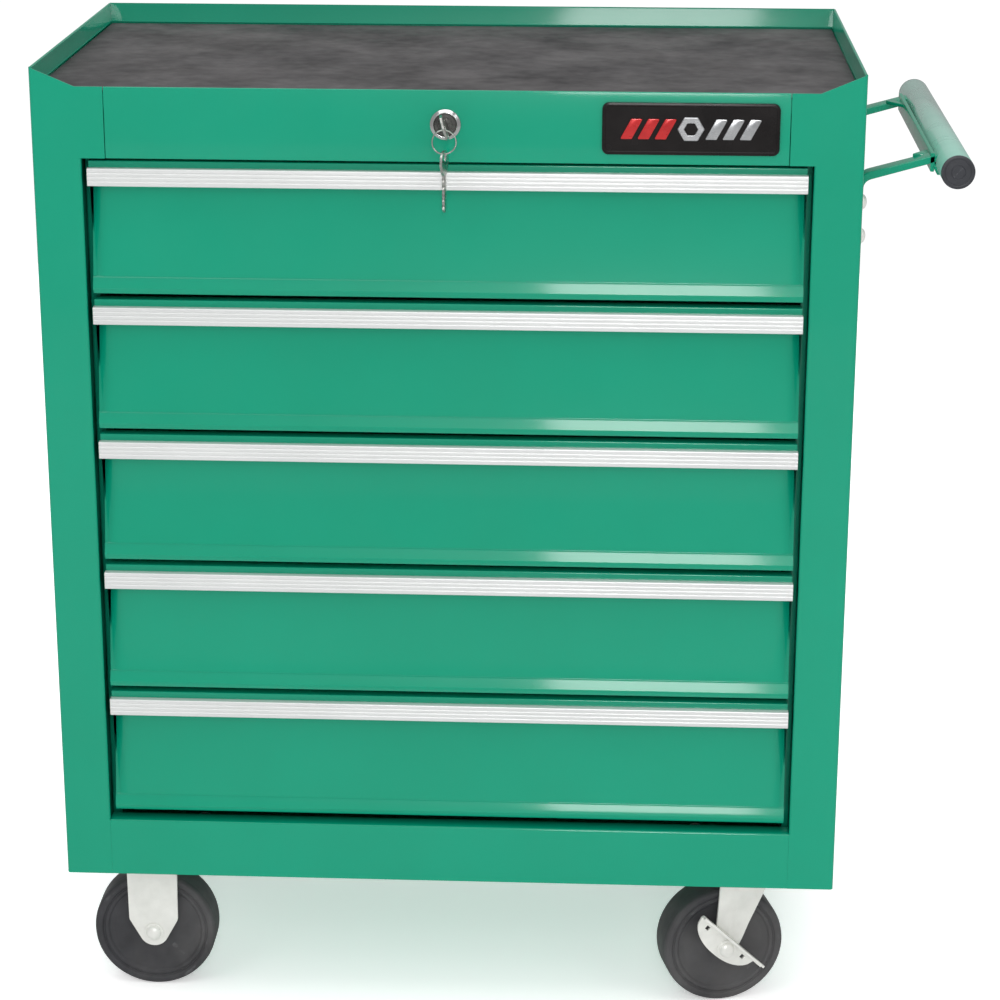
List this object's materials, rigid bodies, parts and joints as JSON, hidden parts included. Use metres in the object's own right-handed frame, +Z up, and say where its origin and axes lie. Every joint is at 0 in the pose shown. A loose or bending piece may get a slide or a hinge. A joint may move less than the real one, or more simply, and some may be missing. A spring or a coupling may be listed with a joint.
{
  "type": "rolling tool chest",
  "caption": "Rolling tool cabinet with sliding drawers, key lock, lipped mat-lined top, side push handle and casters.",
  "frame": {"origin": "on the floor under the centre of the cabinet body", "axes": "+X towards the side handle, -Y out of the drawer fronts, +Z up"},
  "size_m": [0.696, 0.3538, 0.767],
  "materials": {
    "green_enamel": "gloss enamel",
    "mat_rubber": "mottled matt",
    "pull_aluminium": "satin, finely ribbed",
    "slide_steel": "zinc plated",
    "zinc_steel": "zinc plated",
    "wheel_rubber": "moulded, matt",
    "badge_black": "gloss",
    "cap_plastic": "moulded",
    "lock_chrome": "chrome plated",
    "key_nickel": "nickel plated"
  },
  "bodies": {
    "cabinet": {"side_panel_left": "green_enamel", "side_panel_right": "green_enamel", "back_panel": "green_enamel", "base_panel": "green_enamel", "top_fascia": "green_enamel", "bottom_rail": "green_enamel", "top_tray": "green_enamel", "top_mat": "mat_rubber", "slide_uprights": "green_enamel", "slide_outer_rails": "slide_steel", "lock_housing": "lock_chrome", "badge_plate": "badge_black", "handle_bracket": "green_enamel", "handle_grip_tube": "green_enamel", "handle_end_caps": "cap_plastic", "handle_bolts": "zinc_steel", "caster_bolts": "zinc_steel", "left_front_caster_fork": "zinc_steel", "left_front_caster_axle": "zinc_steel", "left_rear_caster_fork": "zinc_steel", "left_rear_caster_axle": "zinc_steel", "right_front_caster_plate": "zinc_steel", "right_rear_caster_plate": "zinc_steel"},
    "lock_cylinder": {"lock_plug": "lock_chrome", "lock_cam": "zinc_steel"},
    "door_key": {"key": "key_nickel"},
    "split_ring": {"key_ring": "key_nickel"},
    "locking_bar": {"lock_bar": "zinc_steel"},
    "drawer_1": {"drawer_1_box": "green_enamel", "drawer_1_pull": "pull_aluminium", "drawer_1_runners": "slide_steel"},
    "drawer_1_slides": {"drawer_1_mids": "slide_steel"},
    "drawer_2": {"drawer_2_box": "green_enamel", "drawer_2_pull": "pull_aluminium", "drawer_2_runners": "slide_steel"},
    "drawer_2_slides": {"drawer_2_mids": "slide_steel"},
    "drawer_3": {"drawer_3_box": "green_enamel", "drawer_3_pull": "pull_aluminium", "drawer_3_runners": "slide_steel"},
    "drawer_3_slides": {"drawer_3_mids": "slide_steel"},
    "drawer_4": {"drawer_4_box": "green_enamel", "drawer_4_pull": "pull_aluminium", "drawer_4_runners": "slide_steel"},
    "drawer_4_slides": {"drawer_4_mids": "slide_steel"},
    "drawer_5": {"drawer_5_box": "green_enamel", "drawer_5_pull": "pull_aluminium", "drawer_5_runners": "slide_steel"},
    "drawer_5_slides": {"drawer_5_mids": "slide_steel"},
    "left_front_wheel": {"left_front_caster_wheel": "wheel_rubber"},
    "right_front_swivel": {"right_front_caster_fork": "zinc_steel", "right_front_caster_axle": "zinc_steel"},
    "right_front_wheel": {"right_front_caster_wheel": "wheel_rubber"},
    "right_front_brake": {"right_front_caster_brake": "zinc_steel"},
    "left_rear_wheel": {"left_rear_caster_wheel": "wheel_rubber"},
    "right_rear_swivel": {"right_rear_caster_fork": "zinc_steel", "right_rear_caster_axle": "zinc_steel"},
    "right_rear_wheel": {"right_rear_caster_wheel": "wheel_rubber"},
    "right_rear_brake": {"right_rear_caster_brake": "zinc_steel"}
  },
  "joints": [
    {"name": "lock_turn", "type": "hinge", "parent": "cabinet", "child": "lock_cylinder", "pos_m": [0, -0.1665, 0.7277], "axis": [0, -1, 0], "range_deg": [-17, 73]},
    {"name": "key_pull", "type": "slide", "parent": "lock_cylinder", "child": "door_key", "axis": [0, -1, 0], "range_m": [0, 0.02]},
    {"name": "ring_swing", "type": "hinge", "parent": "door_key", "child": "split_ring", "pos_m": [0, -0.1827, 0.7262], "axis": [1, 0, 0], "range_deg": [-40, 8]},
    {"name": "lock_bar_lift", "type": "slide", "parent": "cabinet", "child": "locking_bar", "axis": [0, 0, 1], "range_m": [-0.00267, 0.01147]},
    {"name": "drawer_1_slide", "type": "slide", "parent": "cabinet", "child": "drawer_1", "axis": [0, -1, 0], "range_m": [0, 0.28]},
    {"name": "drawer_1_mid_slide", "type": "slide", "parent": "cabinet", "child": "drawer_1_slides", "axis": [0, -1, 0], "range_m": [0, 0.14]},
    {"name": "drawer_2_slide", "type": "slide", "parent": "cabinet", "child": "drawer_2", "axis": [0, -1, 0], "range_m": [0, 0.28]},
    {"name": "drawer_2_mid_slide", "type": "slide", "parent": "cabinet", "child": "drawer_2_slides", "axis": [0, -1, 0], "range_m": [0, 0.14]},
    {"name": "drawer_3_slide", "type": "slide", "parent": "cabinet", "child": "drawer_3", "axis": [0, -1, 0], "range_m": [0, 0.28]},
    {"name": "drawer_3_mid_slide", "type": "slide", "parent": "cabinet", "child": "drawer_3_slides", "axis": [0, -1, 0], "range_m": [0, 0.14]},
    {"name": "drawer_4_slide", "type": "slide", "parent": "cabinet", "child": "drawer_4", "axis": [0, -1, 0], "range_m": [0, 0.28]},
    {"name": "drawer_4_mid_slide", "type": "slide", "parent": "cabinet", "child": "drawer_4_slides", "axis": [0, -1, 0], "range_m": [0, 0.14]},
    {"name": "drawer_5_slide", "type": "slide", "parent": "cabinet", "child": "drawer_5", "axis": [0, -1, 0], "range_m": [0, 0.28]},
    {"name": "drawer_5_mid_slide", "type": "slide", "parent": "cabinet", "child": "drawer_5_slides", "axis": [0, -1, 0], "range_m": [0, 0.14]},
    {"name": "left_front_roll", "type": "hinge", "parent": "cabinet", "child": "left_front_wheel", "pos_m": [-0.244, -0.1215, 0.05], "axis": [0, 1, 0], "continuous": true},
    {"name": "right_front_swivel", "type": "hinge", "parent": "cabinet", "child": "right_front_swivel", "pos_m": [0.237, -0.1215, 0.115], "axis": [0, 0, 1], "continuous": true},
    {"name": "right_front_roll", "type": "hinge", "parent": "right_front_swivel", "child": "right_front_wheel", "pos_m": [0.22002, -0.12573, 0.05], "axis": [-0.2419, 0.9703, 0], "continuous": true},
    {"name": "right_front_brake_press", "type": "hinge", "parent": "right_front_swivel", "child": "right_front_brake", "pos_m": [0.22002, -0.12573, 0.05], "axis": [-0.2419, 0.9703, 0], "range_deg": [0, 20]},
    {"name": "left_rear_roll", "type": "hinge", "parent": "cabinet", "child": "left_rear_wheel", "pos_m": [-0.244, 0.1215, 0.05], "axis": [0, 1, 0], "continuous": true},
    {"name": "right_rear_swivel", "type": "hinge", "parent": "cabinet", "child": "right_rear_swivel", "pos_m": [0.237, 0.1215, 0.115], "axis": [0, 0, 1], "continuous": true},
    {"name": "right_rear_roll", "type": "hinge", "parent": "right_rear_swivel", "child": "right_rear_wheel", "pos_m": [0.22002, 0.11727, 0.05], "axis": [-0.2419, 0.9703, 0], "continuous": true},
    {"name": "right_rear_brake_press", "type": "hinge", "parent": "right_rear_swivel", "child": "right_rear_brake", "pos_m": [0.22002, 0.11727, 0.05], "axis": [-0.2419, 0.9703, 0], "range_deg": [0, 20]}
  ],
  "couplings": [
    {"joint": "lock_turn", "follows": "lock_bar_lift", "rad_per_m": 111.07},
    {"joint": "drawer_1_mid_slide", "follows": "drawer_1_slide", "ratio": 0.5},
    {"joint": "drawer_2_mid_slide", "follows": "drawer_2_slide", "ratio": 0.5},
    {"joint": "drawer_3_mid_slide", "follows": "drawer_3_slide", "ratio": 0.5},
    {"joint": "drawer_4_mid_slide", "follows": "drawer_4_slide", "ratio": 0.5},
    {"joint": "drawer_5_mid_slide", "follows": "drawer_5_slide", "ratio": 0.5}
  ]
}
